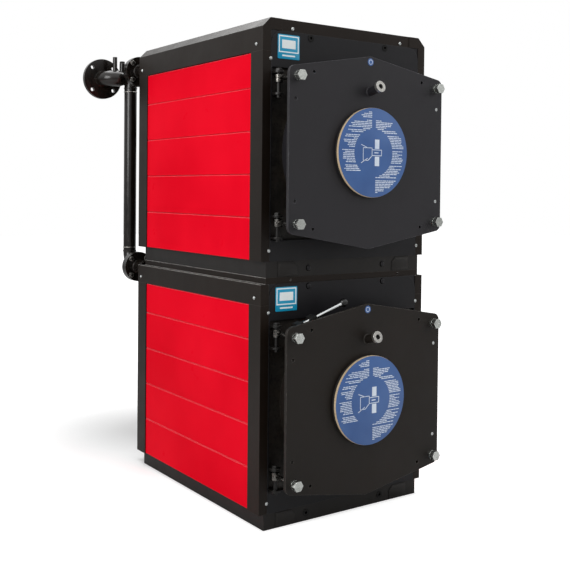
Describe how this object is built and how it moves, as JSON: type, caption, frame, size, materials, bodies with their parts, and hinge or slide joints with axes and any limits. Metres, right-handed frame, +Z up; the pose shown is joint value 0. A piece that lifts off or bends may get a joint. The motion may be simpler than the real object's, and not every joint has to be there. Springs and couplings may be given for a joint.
{
  "type": "industrial boiler",
  "caption": "Stacked twin hot-water boiler: two packaged units with red side boards, black hinged front doors, tube plates, rear smokeboxes and flanged flow and return pipework.",
  "frame": {"origin": "floor level at the middle of the bounding box", "axes": "+Z up, front (doors) towards -Y, +X to the right seen from the front"},
  "size_m": [1.17, 1.4896, 1.929],
  "materials": {
    "black_paint": "satin black stoved paint on folded sheet steel",
    "door_black": "matt black heat paint on steel plate",
    "red_paint": "gloss red stoved paint on sheet boards",
    "pipe_black": "black brushed paint on steel pipe",
    "boiler_steel": "primed boiler plate with heat marks",
    "refractory": "cast refractory",
    "rope": "braided ceramic rope",
    "fibre_board": "ceramic fibre board",
    "zinc": "bright zinc plating"
  },
  "bodies": {
    "frame": {"lower_base": "black_paint", "lower_front": "black_paint", "lower_sides": "black_paint", "lower_boards": "red_paint", "lower_rear": "black_paint", "lower_top": "black_paint", "lower_body": "boiler_steel", "lower_tubes": "boiler_steel", "lower_tube_plate": "boiler_steel", "lower_hinges": "black_paint", "lower_smokebox": "black_paint", "lower_nozzles": "pipe_black", "upper_base": "black_paint", "upper_front": "black_paint", "upper_sides": "black_paint", "upper_boards": "red_paint", "upper_rear": "black_paint", "upper_top": "black_paint", "upper_body": "boiler_steel", "upper_tubes": "boiler_steel", "upper_tube_plate": "boiler_steel", "upper_hinges": "black_paint", "upper_smokebox": "black_paint", "upper_nozzles": "pipe_black", "flow_lower_bend": "pipe_black", "flow_riser": "pipe_black", "flow_upper_bend": "pipe_black", "return_lower_bend": "pipe_black", "return_riser": "pipe_black", "return_upper_bend": "pipe_black"},
    "lower_door": {"lower_door": "door_black", "lower_door_ring": "door_black", "lower_door_lining": "refractory", "lower_door_seal": "rope", "lower_burner_cover": "fibre_board", "lower_sight_tube": "door_black", "lower_sight_ring": "zinc", "lower_door_bolts": "zinc", "rod_holder": "black_paint", "cleaning_rod": "zinc"},
    "upper_door": {"upper_door": "door_black", "upper_door_ring": "door_black", "upper_door_lining": "refractory", "upper_door_seal": "rope", "upper_burner_cover": "fibre_board", "upper_sight_tube": "door_black", "upper_sight_ring": "zinc", "upper_door_bolts": "zinc"}
  },
  "joints": [
    {"name": "lower_door_hinge", "type": "hinge", "parent": "frame", "child": "lower_door", "pos_m": [-0.346, -0.55824, 0.477], "axis": [0, 0, -1], "range_deg": [0, 90]},
    {"name": "upper_door_hinge", "type": "hinge", "parent": "frame", "child": "upper_door", "pos_m": [-0.346, -0.55824, 1.431], "axis": [0, 0, -1], "range_deg": [0, 90]}
  ]
}
